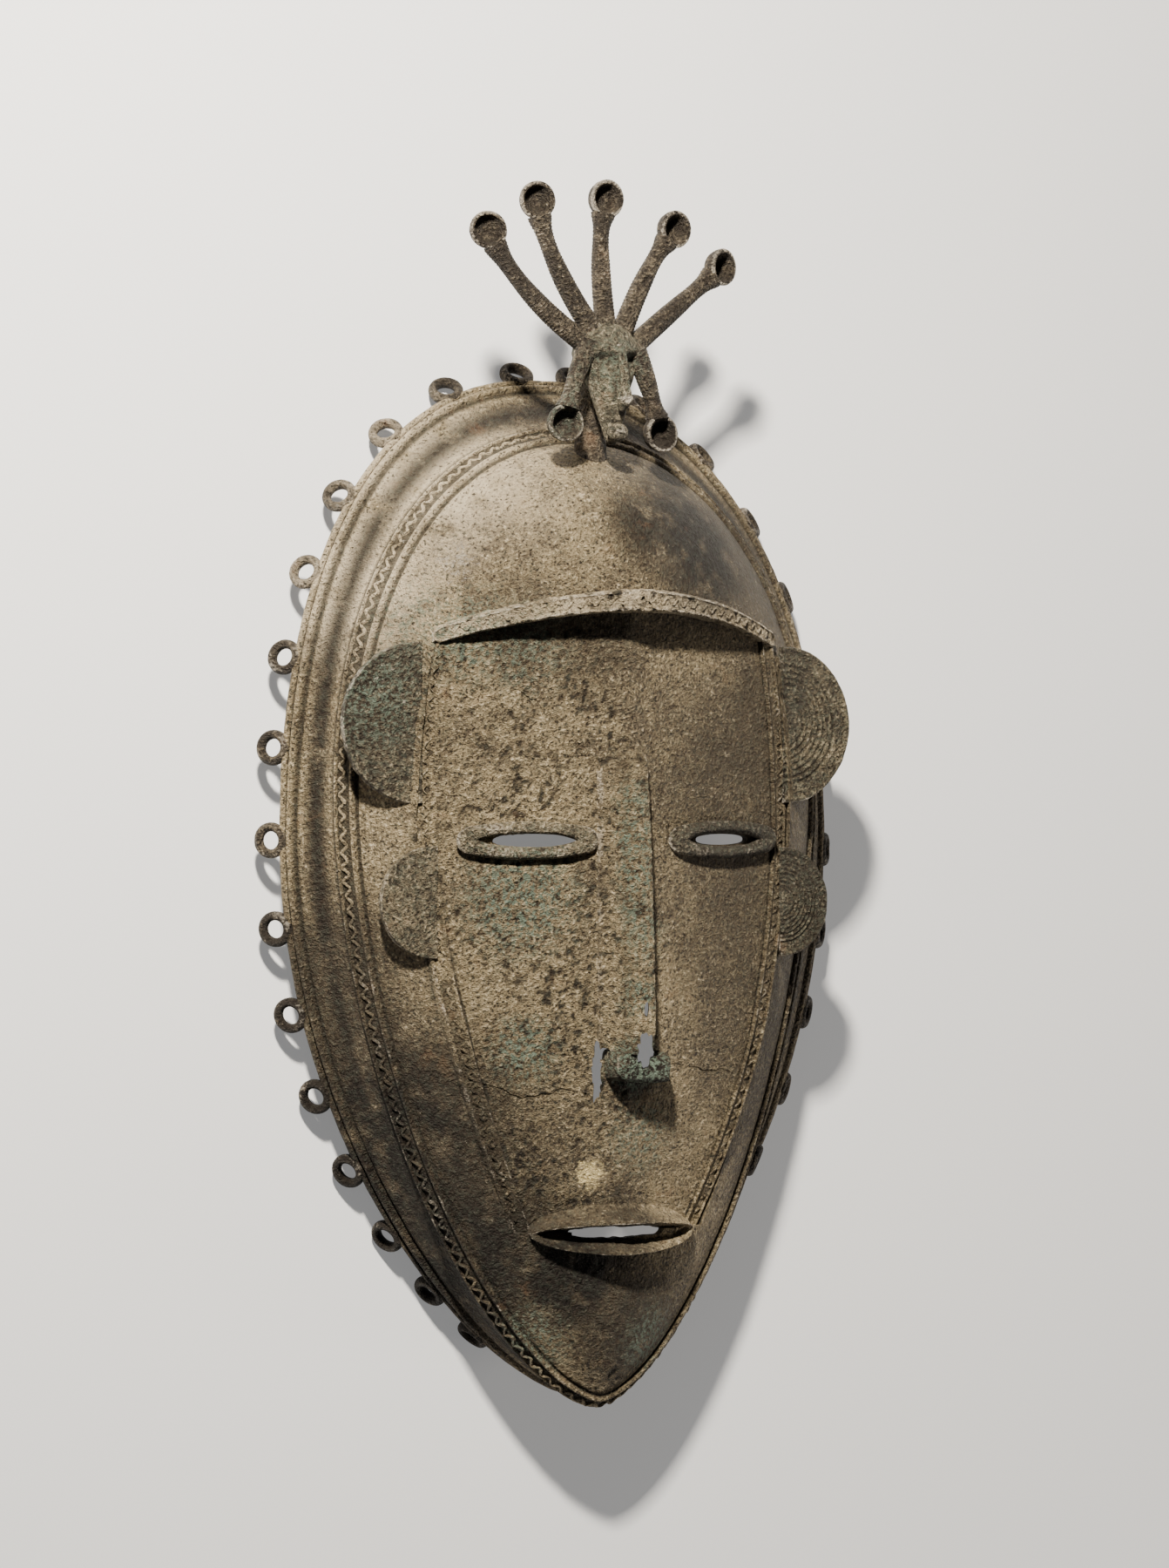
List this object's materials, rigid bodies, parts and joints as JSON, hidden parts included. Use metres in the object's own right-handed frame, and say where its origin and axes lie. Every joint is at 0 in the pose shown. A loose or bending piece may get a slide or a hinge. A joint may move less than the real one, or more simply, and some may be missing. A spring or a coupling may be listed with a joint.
{
  "type": "cast metal face mask",
  "caption": "Long cast-metal face mask with slit eyes, bar nose, round ear lobes, looped rim and a small crested head with cup-ended rods, lying on its back.",
  "frame": {"origin": "middle of the bounding box, on the surface that the rim loops lie on", "axes": "+Z out of the face, +Y from chin to crest, +X to the right of someone looking at the face"},
  "size_m": [0.1844, 0.3436, 0.0686],
  "materials": {
    "casting": "pitted olive-brown patina"
  },
  "bodies": {
    "root": {"mask": "casting"}
  },
  "joints": []
}
